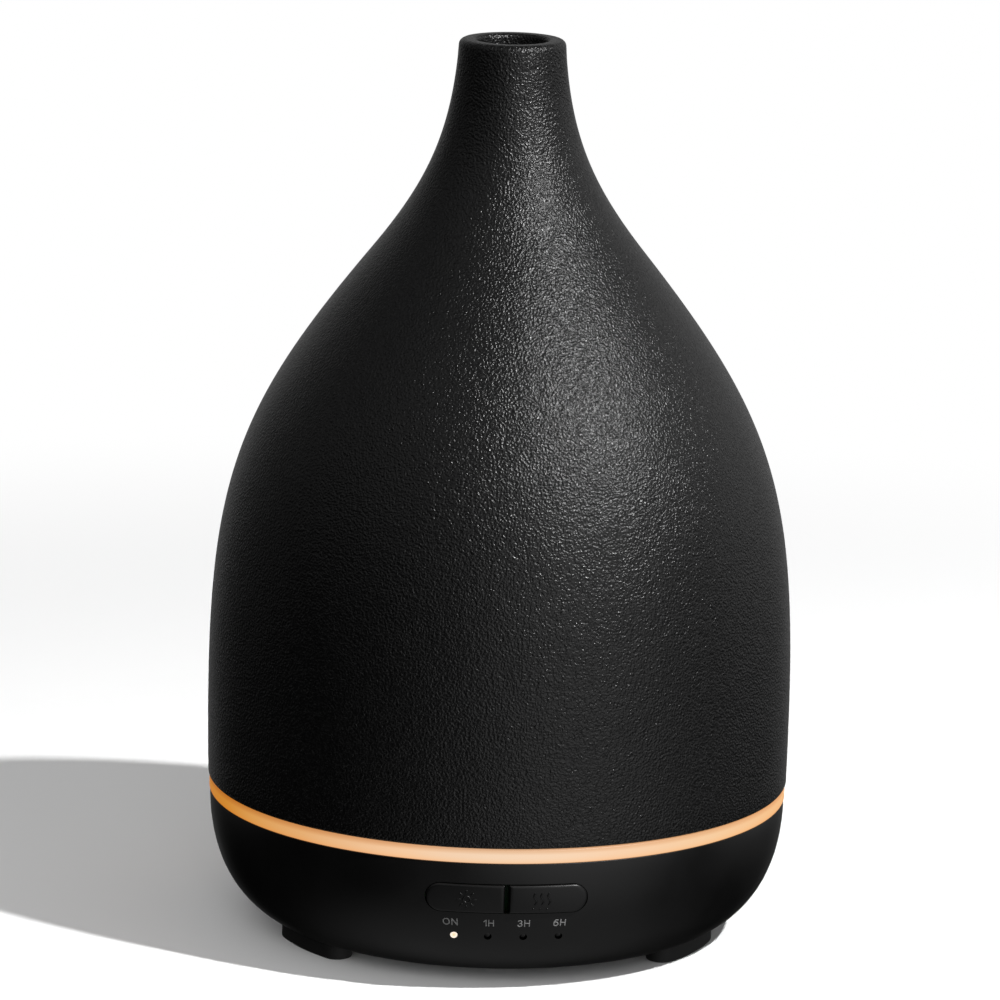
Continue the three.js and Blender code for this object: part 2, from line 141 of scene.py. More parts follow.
def rounded(corners, steps=5):
    """A closed outline whose corners (x, y, radius) are rounded; a point (x, y) stays sharp."""
    outline = []
    for i, point in enumerate(corners):
        if len(point) == 2:
            outline.append(point)
            continue
        here = Vector(point[:2])
        back = (Vector(corners[i - 1][:2]) - here).normalized()
        ahead = (Vector(corners[(i + 1) % len(corners)][:2]) - here).normalized()
        half = back.angle(ahead) / 2
        centre = here + (back + ahead).normalized() * (point[2] / math.sin(half))
        start = here + back * (point[2] / math.tan(half)) - centre
        end = here + ahead * (point[2] / math.tan(half)) - centre
        outline += [tuple(centre + point[2] * start.slerp(end, k / steps).normalized())
                    for k in range(steps + 1)]
    return outline


def cover_curves(count, offset=0.0):
    """The cover's side from its foot to the top of its neck."""
    body = bezier((COVER_R, COVER_Z), *BODY_PULL, SHOULDER, 2 * count, offset)
    neck = bezier(SHOULDER, *NECK_PULL, NECK_END, count, offset)
    return body + neck[1:]


def bowl_curve(count, offset=0.0):
    """The bowl's side from the edge of its flat bottom to its rim."""
    return bezier((FLAT_R, BOWL_Z), *BOWL_PULL, (BOWL_R, BOWL_TOP_Z), count, offset)


# ---- Meshes ----
SHARP = 32  # edges at a larger angle than this, in degrees, stay sharp
SAME_POINT = 1e-6


def new_piece(name, vertices, faces, sharp=SHARP):
    """A mesh object from vertices in millimetres, smooth except at edges sharper than an angle."""
    mesh = bpy.data.meshes.new(name)
    mesh.from_pydata([tuple(c * MM for c in v) for v in vertices], [], faces)
    mesh.validate()
    fix = bmesh.new()
    fix.from_mesh(mesh)
    bmesh.ops.remove_doubles(fix, verts=fix.verts, dist=1e-7)
    bmesh.ops.recalc_face_normals(fix, faces=fix.faces)
    fix.to_mesh(mesh)
    fix.free()
    piece = bpy.data.objects.new(name, mesh)
    scene.collection.objects.link(piece)
    smooth(piece, sharp)
    return piece


def smooth(piece, sharp=SHARP):
    """Shades a piece smooth except at its sharp edges."""
    piece.data.shade_smooth()
    piece.data.set_sharp_from_angle(angle=math.radians(sharp))


def lathe(name, outline, segments=160, x=0.0, y=0.0, sharp=SHARP):
    """A closed outline of (radius, height) turned round the vertical line through x, y."""
    turn = [2 * math.pi * k / segments for k in range(segments)]
    vertices = [(x + r * math.sin(a), y - r * math.cos(a), z) for r, z in outline for a in turn]
    faces = []
    count = len(outline)
    for i in range(count):
        j = (i + 1) % count
        if outline[i][0] < SAME_POINT and outline[j][0] < SAME_POINT:
            continue
        for k in range(segments):
            m = (k + 1) % segments
            faces.append((i * segments + k, i * segments + m, j * segments + m, j * segments + k))
    return new_piece(name, vertices, faces, sharp)


def prism(name, outline, low, high, axis="z", at=(0, 0)):
    """A flat outline pushed from low to high along z, or along y with the outline drawn in x and z."""
    count = len(outline)
    flat = [(u + at[0], v + at[1]) for u, v in outline]
    if axis == "z":
        vertices = [(u, v, level) for level in (low, high) for u, v in flat]
    else:
        vertices = [(u, level, v) for level in (low, high) for u, v in flat]
    sides = [(i, (i + 1) % count, count + (i + 1) % count, count + i) for i in range(count)]
    ends = [tuple(range(count)), tuple(range(2 * count - 1, count - 1, -1))]
    return new_piece(name, vertices, sides + ends)


def circle(radius, count=48):
    """Points round the origin, counter-clockwise."""
    return [(radius * math.cos(2 * math.pi * k / count), radius * math.sin(2 * math.pi * k / count))
            for k in range(count)]


def lay(piece, x, y, z):
    """Turns a piece standing on the origin to lie along Y, and moves its foot to x, y, z."""
    for v in piece.data.vertices:
        across, down, up = v.co
        v.co = (across + x * MM, up + y * MM, z * MM - down)


def join(pieces):
    """Several mesh objects as one, named after the first."""
    with bpy.context.temp_override(active_object=pieces[0], selected_editable_objects=pieces):
        bpy.ops.object.join()
    return pieces[0]


def boolean(piece, tools, operation="DIFFERENCE", sharp=SHARP):
    """Cuts the tools out of the piece, or joins them with it, and uses them up."""
    tool = join(tools) if len(tools) > 1 else tools[0]
    step = piece.modifiers.new("boolean", "BOOLEAN")
    step.operation, step.solver, step.object = operation, "EXACT", tool
    depsgraph = bpy.context.evaluated_depsgraph_get()
    made = bpy.data.meshes.new_from_object(piece.evaluated_get(depsgraph))
    piece.modifiers.clear()
    piece.data = made
    bpy.data.objects.remove(tool)
    smooth(piece, sharp)


# Round ends of a tube: how far along the end each ring sits, and its share of the radius.
TUBE_ENDS = ((0.0, 0.05), (0.3, 0.71), (0.7, 0.95))
TUBE_SHARP = 60


def tube(name, paths, radius, sides=8):
    """Round-ended ridges or strokes: one closed tube along each list of points."""
    vertices, faces = [], []
    for path in paths:
        points = [Vector(p) for p in path]
        first = (points[1] - points[0]).normalized()
        last = (points[-1] - points[-2]).normalized()
        rings = [(points[0] - first * radius * (1 - s), first, radius * w) for s, w in TUBE_ENDS]
        for i, point in enumerate(points):
            ahead = points[min(i + 1, len(points) - 1)] - points[max(i - 1, 0)]
            rings.append((point, ahead.normalized(), radius))
        rings += [(points[-1] + last * radius * (1 - s), last, radius * w)
                  for s, w in reversed(TUBE_ENDS)]
        side = Vector((0, 0, 1)) if abs(first.z) < 0.9 else Vector((1, 0, 0))
        base = len(vertices)
        for centre, ahead, width in rings:
            side = (side - ahead * side.dot(ahead)).normalized()
            across = ahead.cross(side)
            for k in range(sides):
                a = 2 * math.pi * k / sides
                vertices.append(centre + width * (math.cos(a) * side + math.sin(a) * across))
        for i in range(len(rings) - 1):
            for k in range(sides):
                m = (k + 1) % sides
                faces.append((base + i * sides + k, base + i * sides + m,
                              base + (i + 1) * sides + m, base + (i + 1) * sides + k))
        faces.append(tuple(base + k for k in range(sides)))
        faces.append(tuple(base + (len(rings) - 1) * sides + k for k in range(sides)))
    return new_piece(name, vertices, faces, TUBE_SHARP)


# ---- The front of the bowl as a surface to build on ----
bowl_r, bowl_z = np.array(bowl_curve(200)).T
bowl_lean = np.gradient(bowl_r, bowl_z + np.linspace(0, 1e-6, len(bowl_z)))


def on_bowl(along, z, proud):
    """The point at a distance round the bowl from its front and a height, standing proud of it."""
    r, lean = np.interp(z, bowl_z, bowl_r), np.interp(z, bowl_z, bowl_lean)
    size = math.hypot(1, lean)
    r, z = r + proud / size, z - proud * lean / size
    angle = along / BOWL_R
    return (r * math.sin(angle), -r * math.cos(angle), z)


# ---- Materials ----
def material(name):
    """A new material, its nodes, its links and its shader."""
    made = bpy.data.materials.new(name)
    made.use_nodes = True
    return made, made.node_tree.nodes, made.node_tree.links, made.node_tree.nodes["Principled BSDF"]


def object_noise(nodes, links, size_mm, detail=3.0, roughness=0.5, distortion=0.0):
    """Noise in the object's own coordinates, with features of about a size in millimetres."""
    where = nodes.new("ShaderNodeTexCoord")
    noise = nodes.new("ShaderNodeTexNoise")
    noise.inputs["Scale"].default_value = 1 / (size_mm * MM)
    noise.inputs["Detail"].default_value = detail
    noise.inputs["Roughness"].default_value = roughness
    noise.inputs["Distortion"].default_value = distortion
    links.new(where.outputs["Object"], noise.inputs["Vector"])
    return noise


def ramp(nodes, links, source, stops):
    """A colour ramp from (position, colour) stops: the two ends first, then those between."""
    made = nodes.new("ShaderNodeValToRGB")
    for i, (position, colour) in enumerate(stops):
        element = made.color_ramp.elements[i] if i < 2 else made.color_ramp.elements.new(position)
        element.position, element.color = position, (*colour, 1)
    links.new(source, made.inputs["Fac"])
    return made


NOISE_SPAN = (0.3, 0.7)  # where nearly all values of a noise lie


def vary_roughness(nodes, links, shader, source, low, high):
    """Roughness that follows a noise, from one value to another."""
    spread = nodes.new("ShaderNodeMapRange")
    spread.inputs["From Min"].default_value, spread.inputs["From Max"].default_value = NOISE_SPAN
    spread.inputs["To Min"].default_value, spread.inputs["To Max"].default_value = low, high
    links.new(source, spread.inputs["Value"])
    links.new(spread.outputs["Result"], shader.inputs["Roughness"])


def bump(nodes, links, shader, source, depth_mm, under=None):
    """Relief of a depth in millimetres, on top of the relief of another bump node if one is given."""
    made = nodes.new("ShaderNodeBump")
    made.inputs["Distance"].default_value = depth_mm * MM
    made.inputs["Strength"].default_value = 1.0
    links.new(source, made.inputs["Height"])
    if under:
        links.new(under.outputs["Normal"], made.inputs["Normal"])
    links.new(made.outputs["Normal"], shader.inputs["Normal"])
    return made


def tinted(nodes, links, shader, source, dark, light, span=NOISE_SPAN):
    """Base colour that follows a noise, from a dark shade to a light one."""
    tint = ramp(nodes, links, source, [(span[0], dark), (span[1], light)])
    links.new(tint.outputs["Color"], shader.inputs["Base Color"])


BLOTCH_MM = 14.0  # size of the blotches in plastic
GLOSS_SPREAD = 0.04  # half the spread of plastic's roughness


def moulded(name, dark, light, roughness, grain_mm=0.25, depth_mm=0.01):
    """Plastic or rubber: faint blotches of colour, uneven gloss and a fine moulded grain."""
    made, nodes, links, shader = material(name)
    blotch = object_noise(nodes, links, BLOTCH_MM).outputs["Fac"]
    tinted(nodes, links, shader, blotch, dark, light)
    vary_roughness(nodes, links, shader, blotch, roughness - GLOSS_SPREAD, roughness + GLOSS_SPREAD)
    bump(nodes, links, shader, object_noise(nodes, links, grain_mm).outputs["Fac"], depth_mm)
    return made


METAL = {"grain_mm": 0.6, "depth_mm": 0.004, "smoother": 0.08, "rougher": 0.1}


def metal(name, dark, light, roughness):
    """Metal with a fine uneven grain in its colour, gloss and relief."""
    made, nodes, links, shader = material(name)
    streak = object_noise(nodes, links, METAL["grain_mm"], detail=4).outputs["Fac"]
    tinted(nodes, links, shader, streak, dark, light)
    vary_roughness(nodes, links, shader, streak, roughness - METAL["smoother"], roughness + METAL["rougher"])
    shader.inputs["Metallic"].default_value = 1.0
    bump(nodes, links, shader, streak, METAL["depth_mm"])
    return made


# Relief of the ceramic: size and depth of the pebbles, of the waves under them and of the broad swell.
PEBBLES, WAVES, SWELL = (0.48, 0.3), (2.6, 0.08), (11.0, 0.2)
CERAMIC_DARK, CERAMIC_LIGHT, CERAMIC_SPAN = (0.003, 0.003, 0.0031), (0.006, 0.006, 0.0062), (0.36, 0.66)
CERAMIC_ROUGHNESS = (0.4, 0.27)


def ceramic_material():
    """Satin near-black ceramic with a pebbled, leather-like grain of about half a millimetre."""
    made, nodes, links, shader = material("ceramic_black")
    pebbles = object_noise(nodes, links, PEBBLES[0], detail=1.0).outputs["Fac"]
    waves = object_noise(nodes, links, WAVES[0], detail=1.5, distortion=0.4).outputs["Fac"]
    swell = object_noise(nodes, links, SWELL[0], detail=1.0).outputs["Fac"]
    tinted(nodes, links, shader, pebbles, CERAMIC_DARK, CERAMIC_LIGHT, CERAMIC_SPAN)
    vary_roughness(nodes, links, shader, pebbles, *CERAMIC_ROUGHNESS)
    broad = bump(nodes, links, shader, swell, SWELL[1])
    middle = bump(nodes, links, shader, waves, WAVES[1], under=broad)
    bump(nodes, links, shader, pebbles, PEBBLES[1], under=middle)
    return made


def map_range(nodes, links, source, low, high):
    """A value as its share of the way from low to high."""
    made = nodes.new("ShaderNodeMapRange")
    made.inputs["From Min"].default_value, made.inputs["From Max"].default_value = low, high
    links.new(source, made.inputs["Value"])
    return made.outputs["Result"]


# Colour sockets of the Mix node, whose names are not unique.
MIX_FIRST, MIX_SECOND, MIX_RESULT = 6, 7, 2


def mix(nodes, links, blend, factor, first, second):
    """Two colours mixed; the factor is a number or another node's output."""
    made = nodes.new("ShaderNodeMix")
    made.data_type, made.blend_type = "RGBA", blend
    share, one, two = made.inputs[0], made.inputs[MIX_FIRST], made.inputs[MIX_SECOND]
    if isinstance(factor, float):
        share.default_value = factor
    else:
        links.new(factor, share)
    links.new(first, one)
    links.new(second, two)
    return made.outputs[MIX_RESULT]


# The glow round the ring on its left and right halves, against how far towards the front or back a point is
# (0 at the sides, 1 at front and back), and what it is multiplied by from the ring's lower to its upper edge.
# Painted light and shade: the paler front and back paint the glow's face-on brightening, the deeper amber of
# the left half is painted shade, the lighter right half is painted light from the key on the right, and the
# darker upper edge is painted shade under the cover.
RING_SHADED_LEFT = [
    (0.0, (0.60, 0.22, 0.02)), (1.0, (0.91, 0.655, 0.455)), (0.12, (0.67, 0.26, 0.027)),
    (0.28, (0.758, 0.35, 0.085)), (0.54, (0.835, 0.44, 0.175)), (0.89, (0.95, 0.604, 0.361)),
]
RING_KEY_LIT_RIGHT = [
    (0.0, (0.90, 0.475, 0.19)), (1.0, (0.91, 0.655, 0.455)), (0.5, (0.90, 0.575, 0.32)),
    (0.87, (0.91, 0.60, 0.38)),
]
RING_EDGE_SHADE = [
    (0.0, (1.0, 0.84, 0.70)), (1.0, (0.80, 0.66, 0.54)), (0.18, (1.0, 0.95, 0.88)),
    (0.42, (0.98, 0.99, 1.0)), (0.65, (0.98, 0.99, 1.0)), (0.86, (0.88, 0.79, 0.70)),
]
RING_BLEND = 0.35  # share of the radius over which left turns into right
RING_STRENGTH, LAMP_STRENGTH = 0.94, 0.98


def ring_material():
    """Glowing plastic: pale peach in front and behind, amber at the sides, deepest on the left; the pale
    front and back, the darker left half, the lighter right half and the darker upper edge are painted light
    and shade.
    """
    made, nodes, links, shader = material("ring_glow")
    where = nodes.new("ShaderNodeTexCoord")
    parts = nodes.new("ShaderNodeSeparateXYZ")
    links.new(where.outputs["Object"], parts.inputs["Vector"])
    square = nodes.new("ShaderNodeMath")
    square.operation = "MULTIPLY"
    links.new(parts.outputs["Y"], square.inputs[0])
    links.new(parts.outputs["Y"], square.inputs[1])
    reach = RING_R * MM
    front = map_range(nodes, links, square.outputs["Value"], 0.0, reach**2)
    side = map_range(nodes, links, parts.outputs["X"], -RING_BLEND * reach, RING_BLEND * reach)
    level = map_range(nodes, links, parts.outputs["Z"], ring_low.z * MM, ring_high.z * MM)
    # Painted shade deepens the left half and painted key light brightens the right half; the edge ramp paints
    # shade along the upper edge.
    left = ramp(nodes, links, front, RING_SHADED_LEFT)
    right = ramp(nodes, links, front, RING_KEY_LIT_RIGHT)
    edges = ramp(nodes, links, level, RING_EDGE_SHADE)
    body = mix(nodes, links, "MIX", side, left.outputs["Color"], right.outputs["Color"])
    glow = mix(nodes, links, "MULTIPLY", 1.0, body, edges.outputs["Color"])
    links.new(glow, shader.inputs["Emission Color"])
    shader.inputs["Emission Strength"].default_value = RING_STRENGTH
    shader.inputs["Base Color"].default_value = (0.12, 0.08, 0.05, 1)
    mottle = object_noise(nodes, links, 6.0).outputs["Fac"]
    vary_roughness(nodes, links, shader, mottle, 0.4, 0.5)
    return made


LAMP_CORE, LAMP_RIM = (0.15, (1.0, 0.62, 0.38)), (0.75, (1.0, 0.86, 0.74))  # share of the radius, colour


def lit_lamp_material():
    """The lit light guide: a slightly darker orange core inside a bright rim."""
    made, nodes, links, shader = material("lamp_glow")
    where = nodes.new("ShaderNodeTexCoord")
    face = nodes.new("ShaderNodeVectorMath")
    face.operation = "MULTIPLY"
    face.inputs[1].default_value = (1, 0, 1)
    away = nodes.new("ShaderNodeVectorMath")
    away.operation = "DISTANCE"
    away.inputs[1].default_value = (LAMP_X[0] * MM, 0, LAMP_Z * MM)
    links.new(where.outputs["Object"], face.inputs[0])
    links.new(face.outputs["Vector"], away.inputs[0])
    rim = map_range(nodes, links, away.outputs["Value"],
                    LAMP_CORE[0] * LAMP_R * MM, LAMP_RIM[0] * LAMP_R * MM)
    glow = ramp(nodes, links, rim, [(0.0, LAMP_CORE[1]), (1.0, LAMP_RIM[1])])
    links.new(glow.outputs["Color"], shader.inputs["Emission Color"])
    links.new(glow.outputs["Color"], shader.inputs["Base Color"])
    shader.inputs["Emission Strength"].default_value = LAMP_STRENGTH
    grain = object_noise(nodes, links, 0.3).outputs["Fac"]
    vary_roughness(nodes, links, shader, grain, 0.22, 0.3)
    return made


def milky_material():
    """Milky polypropylene, slightly translucent, with a satin moulded face."""
    made, nodes, links, shader = material("plastic_white")
    blotch = object_noise(nodes, links, 16.0).outputs["Fac"]
    grain = object_noise(nodes, links, 0.35).outputs["Fac"]
    tinted(nodes, links, shader, blotch, (0.68, 0.69, 0.69), (0.76, 0.765, 0.755))
    vary_roughness(nodes, links, shader, blotch, 0.34, 0.44)
    shader.inputs["Subsurface Weight"].default_value = 0.25
    shader.inputs["Subsurface Radius"].default_value = (0.003, 0.003, 0.0026)
    shader.inputs["Subsurface Scale"].default_value = 1.0
    bump(nodes, links, shader, grain, 0.008)
    return made


def board_material():
    """Green solder resist with paler copper tracks under it."""
    made, nodes, links, shader = material("board_green")
    where = nodes.new("ShaderNodeTexCoord")
    tracks = nodes.new("ShaderNodeTexBrick")
    tracks.inputs["Scale"].default_value = 160
    tracks.inputs["Mortar Size"].default_value = 0.03
    tracks.inputs["Color1"].default_value = (0.010, 0.085, 0.035, 1)
    tracks.inputs["Color2"].default_value = (0.008, 0.070, 0.030, 1)
    tracks.inputs["Mortar"].default_value = (0.030, 0.170, 0.075, 1)
    links.new(where.outputs["Object"], tracks.inputs["Vector"])
    links.new(tracks.outputs["Color"], shader.inputs["Base Color"])
    shine = object_noise(nodes, links, 2.0).outputs["Fac"]
    vary_roughness(nodes, links, shader, shine, 0.25, 0.4)
    bump(nodes, links, shader, tracks.outputs["Fac"], -0.02)
    return made


CERAMIC = ceramic_material()
BOWL = moulded("plastic_black", (0.0032, 0.0032, 0.0033), (0.0045, 0.0045, 0.0046), 0.42, depth_mm=0.006)
CAP = moulded("button_black", (0.0035, 0.0035, 0.0036), (0.005, 0.005, 0.0051), 0.36, depth_mm=0.004)
PRINT = moulded("print_grey", (0.36, 0.36, 0.36), (0.44, 0.44, 0.44), 0.5, grain_mm=0.12, depth_mm=0.004)
RUBBER = moulded("rubber_black", (0.009, 0.009, 0.009), (0.014, 0.014, 0.014), 0.72,
                 grain_mm=0.4, depth_mm=0.02)
DARK = moulded("plastic_dark", (0.012, 0.012, 0.013), (0.020, 0.020, 0.021), 0.38)
GLOW = ring_material()
LAMP_ON = lit_lamp_material()
LAMP_OFF = moulded("lamp_clear", (0.004, 0.004, 0.004), (0.008, 0.008, 0.008), 0.25,
                   grain_mm=0.5, depth_mm=0.003)
MILKY = milky_material()
BOARD = board_material()
STEEL = metal("steel", (0.42, 0.42, 0.43), (0.58, 0.58, 0.59), 0.34)
BRASS = metal("brass", (0.50, 0.36, 0.14), (0.64, 0.48, 0.22), 0.28)
WIRE = moulded("wire_red", (0.30, 0.012, 0.010), (0.38, 0.02, 0.015), 0.35, grain_mm=0.8)


def finish(piece, look, body, slot, *nodes):
    """Dresses a new piece, fixes it to its body and hides the CAD nodes it stands for."""
    piece.data.materials.clear()
    piece.data.materials.append(look)
    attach(piece, body)
    if nodes:
        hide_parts(*nodes)


# ---- Ceramic cover ----
FINE = 240  # steps round the pieces seen largest


def make_cover():
    """The ceramic bottle; both sides skip their lowest points, where the foot's rounded edges are."""
    outline = rounded([
        (COVER_R - COVER_WALL, COVER_Z, 0.6), (COVER_R, COVER_Z, 0.5),
        *cover_curves(44)[2:],
        (LIP_R, TOP_Z, LIP_ROUND), (OUTLET_R, TOP_Z, OUTLET_ROUND),
        *cover_curves(30, COVER_WALL)[:1:-1],
    ])
    cover = lathe("cover_ceramic", outline, FINE, sharp=60)
    finish(cover, CERAMIC, "ceramic_cover", "ceramic_black", "ceramic_cover")


# ---- Inner lid ----
def make_lid():
    """The milky inner lid: edge, dome with its chimney, and the plug below."""
    outline = rounded([
        (LID_SEAT_R, lid_low.z, 0.4), (lid_high.x, lid_low.z, 0.4), (lid_high.x, LID_EDGE_Z, 1.4),
        *bezier(*LID_DOME, 28)[1:],
        (CHIMNEY_R + LID_SKIN, lid_high.z, 0.8), (CHIMNEY_R, lid_high.z, 0.6),
        *bezier(*LID_DOME, 28, LID_SKIN)[:0:-1],
        (PLUG["inner"], LID_ROOF_Z), (PLUG["inner"], PLUG["low"], 0.4), (PLUG["outer"], PLUG["low"], 0.4),
        (PLUG["outer"], PLUG["root"]), (LID_SEAT_R, PLUG["root"]),
    ])
    finish(lathe("lid_moulding", outline), MILKY, "inner_lid", "plastic_white", "inner_lid")


# ---- Light ring ----
def make_ring():
    """The visible band, a little higher than in the CAD so that no gap shows above or below it."""
    low, high = ring_low.z - RIM_OVERLAP, ring_high.z + RIM_OVERLAP
    outline = rounded([
        (RING_IN, ring_low.z, 0.2), (RING_R, low, 0.25), (RING_R, high, 0.25),
        (STEP_R, high, 0.3), (STEP_R, SHELF_Z), (RING_IN, SHELF_Z, 0.2),
    ])
    finish(lathe("ring_diffuser", outline, FINE), GLOW, "base", "ring_glow", "light_ring")


# ---- Water tank ----
def polar(radius, degrees):
    """A point seen from above; 0 degrees is the front and 90 the right."""
    return radius * math.sin(math.radians(degrees)), -radius * math.cos(math.radians(degrees))


SCREWS = [polar(SCREW_R, degrees) for degrees in (0, 120, 240)]


def make_tank():
    """The tank turned as one solid, with the air duct, bosses and fill mark joined and the holes cut."""
    floor, dish = TANK_FLOOR_Z + TANK_WALL, TANK_FLOOR_Z + TANK_WALL - 0.7
    skirt_in, skirt_out = PIEZO_R + 0.6, PIEZO_R + 3
    outline = rounded([
        (PIEZO_HOLE, TANK_FLOOR_Z), (skirt_in, TANK_FLOOR_Z), (skirt_in, PIEZO_SKIRT_Z, 0.3),
        (skirt_out, PIEZO_SKIRT_Z, 0.3), (skirt_out, TANK_FLOOR_Z, 0.3), (TANK_R, TANK_FLOOR_Z, 4),
        (TANK_R, FLANGE["under"]), (FLANGE["neck"], FLANGE["under"]),
        (FLANGE["neck"], FLANGE["step"]), (FLANGE["outer"], FLANGE["step"], 0.3),
        (FLANGE["outer"], FLANGE["rim"], 0.5), (FLANGE["inner"], FLANGE["rim"], 0.5),
        (FLANGE["inner"], FLANGE["over"], 0.5), (TANK_R, FLANGE["over"], 0.8),
        (TANK_R, tank_high.z, 0.5), (TANK_IN, tank_high.z, 0.5), (TANK_IN, floor, 3),
        (PIEZO_DISH_R, floor, 0.8), (PIEZO_DISH_R - 1.2, dish, 0.8), (PIEZO_HOLE, dish, 0.3),
    ])
    tank = lathe("tank_moulding", outline)
    side = rounded([(0, TANK_FLOOR_Z), (DUCT_R, TANK_FLOOR_Z), (DUCT_R, DUCT_TOP, 0.5), (0, DUCT_TOP)])
    duct = lathe("duct", side, 64, 0, FAN_Y)
    bosses = [prism(f"boss_{i}", circle(BOSS_R, 32), 10, TANK_FLOOR_Z + 0.5, at=at)
              for i, at in enumerate(SCREWS)]
    half, face, wall = FILL_MARK["half"], -FILL_MARK["face"], -TANK_IN - 0.5
    mark = prism("mark", rounded([(-half, wall), (half, wall), (half, face, 0.3), (-half, face, 0.3)]),
                 FILL_MARK["low"], FILL_MARK["high"])
    boolean(tank, [duct, *bosses, mark], "UNION")
    bore = prism("bore", circle(DUCT_BORE), TANK_FLOOR_Z - 1, DUCT_TOP + 1, at=(0, FAN_Y))
    pilots = [prism(f"pilot_{i}", circle(PILOT_R, 24), 9, 18, at=at) for i, at in enumerate(SCREWS)]
    boolean(tank, [bore, *pilots])
    finish(tank, MILKY, "base", "plastic_white", "water_tank")


# ---- Bowl ----
def foot_outline(degrees, margin=0.0):
    """A bent pad with round ends, seen from above."""
    middle, half = math.radians(degrees - 90), FOOT_HALF + margin
    a, b = middle - math.radians(FOOT_SPAN), middle + math.radians(FOOT_SPAN)

    def bend(cx, cy, r, start, end, count):
        turns = [start + (end - start) * k / count for k in range(count)]
        return [(cx + r * math.cos(t), cy + r * math.sin(t)) for t in turns]

    return (bend(0, 0, FOOT_R + half, a, b, 16)
            + bend(FOOT_R * math.cos(b), FOOT_R * math.sin(b), half, b, b + math.pi, 12)
            + bend(0, 0, FOOT_R - half, b, a, 16)
            + bend(FOOT_R * math.cos(a), FOOT_R * math.sin(a), half, a - math.pi, a, 12))


def slot_outline(margin):
    """The slot of the button pair, in x and z: straight sides and round ends."""
    low, high = BUTTON["low"] - margin, BUTTON["high"] + margin
    r, middle = (high - low) / 2, (high + low) / 2
    reach = np.interp(middle, bowl_z, bowl_r) * math.sin(BUTTON["half"] / BOWL_R) + margin - r
    quarter = [math.radians(-90 + 180 * k / 24) for k in range(25)]
    right = [(reach + r * math.cos(t), middle + r * math.sin(t)) for t in quarter]
    return right + [(-x, z) for x, z in reversed(right)]


def make_bowl():
    """The bowl turned as one solid, with its holes cut one after another."""
    outer, inner = bowl_curve(56), bowl_curve(40, SHELL_WALL)
    rim = BOWL_TOP_Z + RIM_OVERLAP
    outline = rounded([
        (0, BOWL_Z), *outer[:-2], (BOWL_R, rim, 0.12), (BOWL_R - SHELL_WALL, rim, 0.3),
        *inner[-2::-1], (0, SHELL_FLOOR_Z),
    ])
    bowl = lathe("bowl_moulding", outline, FINE)
    backing = prism("backing", circle(INLET["backing"]), INLET["backing_y"], INLET["wall_y"],
                    "y", (0, JACK_Z))
    pillars = [prism(f"pillar_{i}", circle(PILLAR_R, 32), SHELL_FLOOR_Z - 1, PILLAR_TOP, at=at)
               for i, at in enumerate(SCREWS)]
    boolean(bowl, [backing, *pillars], "UNION")
    front = -62  # clear of the bowl's front
    cutters = [
        prism("slot", slot_outline(SLOT_MARGIN), front, -52, "y"),
        *[prism(f"lamp_{i}", circle(LAMP_R, 32), front, -50, "y", (x, LAMP_Z)) for i, x in enumerate(LAMP_X)],
        prism("socket", circle(INLET["hole"]), 50, INLET["dish_y"] + 0.4, "y", (0, JACK_Z)),
        prism("recess", circle(INLET["dish"], 64), INLET["dish_y"], 60, "y", (0, JACK_Z)),
        prism("intake", circle(INTAKE_R, 64), 0, SHELL_FLOOR_Z + 1, at=(0, FAN_Y)),
        *[prism(f"sink_{i}", circle(SINK_R, 32), 0, SINK_DEPTH, at=at) for i, at in enumerate(SCREWS)],
        *[prism(f"pocket_{i}", foot_outline(degrees, POCKET_MARGIN), 0, POCKET_TOP)
          for i, degrees in enumerate(FEET.values())],
    ]
    for cutter in cutters:
        boolean(bowl, [cutter], sharp=28)
    finish(bowl, BOWL, "base", "plastic_black", "base_shell")


def make_feet():
    """Rubber pads whose lower edge is rounded: a stack of outlines that draws in towards the floor."""
    for name, degrees in FEET.items():
        rings = [[(x, y, z) for x, y in foot_outline(degrees, margin)] for z, margin in FOOT_LEVELS]
        count = len(rings[0])
        faces = [(i * count + k, i * count + (k + 1) % count,
                  (i + 1) * count + (k + 1) % count, (i + 1) * count + k)
                 for i in range(len(rings) - 1) for k in range(count)]
        faces += [tuple(range(count)), tuple((len(rings) - 1) * count + k for k in range(count))]
        pad = new_piece(f"{name}_pad", [v for ring in rings for v in ring], faces)
        finish(pad, RUBBER, "base", "rubber_black", name)


def make_grille():
    """A round plate with parallel slots, each as long as the plate allows."""
    low, high = span("intake_grille")
    r, half = (high.x - low.x) / 2, GRILLE["half"]
    outline = rounded([(0, low.z), (r, low.z, 0.4), (r, high.z, 0.2), (0, high.z)])
    plate = lathe("grille_plate", outline, 96, 0, FAN_Y)
    slots = []
    for i in range(-GRILLE["each_side"], GRILLE["each_side"] + 1):
        x = i * GRILLE["pitch"]
        reach = math.sqrt((r - GRILLE["margin"]) ** 2 - x * x) - half
        ends = [math.radians(180 * k / 10) for k in range(11)]
        top = [(x + half * math.cos(t), FAN_Y + reach + half * math.sin(t)) for t in ends]
        slots.append(prism(f"gap_{i}", top + [(2 * x - u, 2 * FAN_Y - v) for u, v in top], 0, 9))
    boolean(plate, slots)
    finish(plate, BOWL, "base", "plastic_black", "intake_grille")


